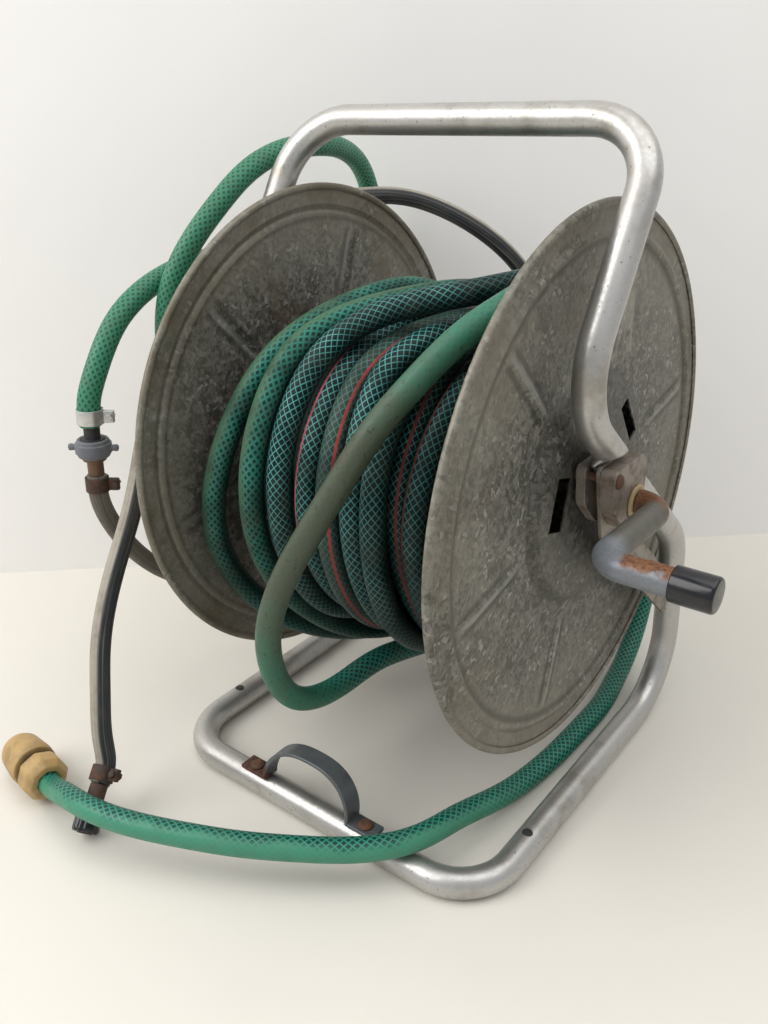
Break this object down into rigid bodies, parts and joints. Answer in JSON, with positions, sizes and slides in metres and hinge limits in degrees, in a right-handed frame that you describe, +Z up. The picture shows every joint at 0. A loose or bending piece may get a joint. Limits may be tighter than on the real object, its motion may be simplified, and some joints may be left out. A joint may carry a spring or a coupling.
{
  "type": "hose reel",
  "caption": "Free-standing garden hose reel: bent aluminium tube frame, galvanised flanges, side crank, wound green hose, tap leader and quick connector.",
  "frame": {"origin": "centre of the bounding box's floor side, measured without the hoses and their fittings", "axes": "+X along the axle to the crank, +Y to the rear, away from the hoop and the hose end, +Z up"},
  "size_m": [0.5144, 0.5803, 0.5136],
  "materials": {
    "aluminium_tube": "weathered, dull",
    "galvanised_sheet": "weathered zinc spangle",
    "cast_metal": "dull, stained",
    "rusty_steel": "rusted",
    "bright_steel": "dull",
    "painted_crank": "grey paint, rust at the elbow",
    "nylon": "yellowed",
    "black_plastic": "gloss",
    "green_hose": "clear skin over a braid",
    "dark_hose": "ribbed, satin",
    "tan_plastic": "faded",
    "grey_plastic": "satin",
    "grey_strip": "dull"
  },
  "bodies": {
    "stand": {"frame_tube": "aluminium_tube", "bracket_plate_right": "cast_metal", "bracket_plate_left": "cast_metal", "bearing_block_right": "cast_metal", "bearing_block_left": "cast_metal", "backing_block_right": "cast_metal", "backing_block_left": "cast_metal", "rivet_upper_right": "rusty_steel", "rivet_upper_left": "rusty_steel", "rivet_lower_right": "rusty_steel", "rivet_lower_left": "rusty_steel", "axle_bush_right": "nylon", "axle_bush_left": "nylon", "hoop_strip": "grey_strip", "hoop_screw_left": "rusty_steel", "hoop_screw_right": "rusty_steel", "inlet_swivel": "cast_metal", "leader_hose_inlet": "dark_hose", "union_tail_lower": "rusty_steel", "union_clamp_lower": "rusty_steel", "union_clamp_lower_bolt": "rusty_steel", "union_tail_upper": "black_plastic", "union_clamp_upper": "bright_steel", "union_clamp_upper_bolt": "bright_steel", "leader_hose_upper": "green_hose", "hose_joiner": "black_plastic", "leader_hose_tap": "dark_hose", "tap_clamp": "rusty_steel", "tap_clamp_bolt": "rusty_steel", "tap_tail": "rusty_steel", "tap_nut": "black_plastic", "outlet_hose": "green_hose", "connector_nut": "tan_plastic", "connector_ring": "black_plastic", "connector_body": "black_plastic"},
    "reel": {"flange_right": "galvanised_sheet", "flange_left": "galvanised_sheet", "drum_barrel": "galvanised_sheet", "axle": "bright_steel", "hub_collar_right": "bright_steel", "hub_collar_left": "bright_steel", "crank": "painted_crank", "grip_cap": "black_plastic", "hose_core": "green_hose", "hose_winding": "green_hose", "loose_turn": "green_hose"},
    "union_nut": {"union_wing_nut": "grey_plastic"},
    "connector_collar": {"connector_sleeve": "tan_plastic"}
  },
  "joints": [
    {"name": "reel_spin", "type": "hinge", "parent": "stand", "child": "reel", "pos_m": [-0.03315, 0, 0.2544], "axis": [1, 0, 0], "continuous": true},
    {"name": "union_nut_turn", "type": "hinge", "parent": "stand", "child": "union_nut", "pos_m": [-0.25255, -0.1751, 0.2695], "axis": [0.0238, 0.0594, 0.998], "continuous": true},
    {"name": "collar_slide", "type": "slide", "parent": "stand", "child": "connector_collar", "axis": [0.9869, -0.1603, 0.02], "range_m": [0, 0.0035], "stiffness_N_per_m": 500, "springref_m": -0.002}
  ]
}
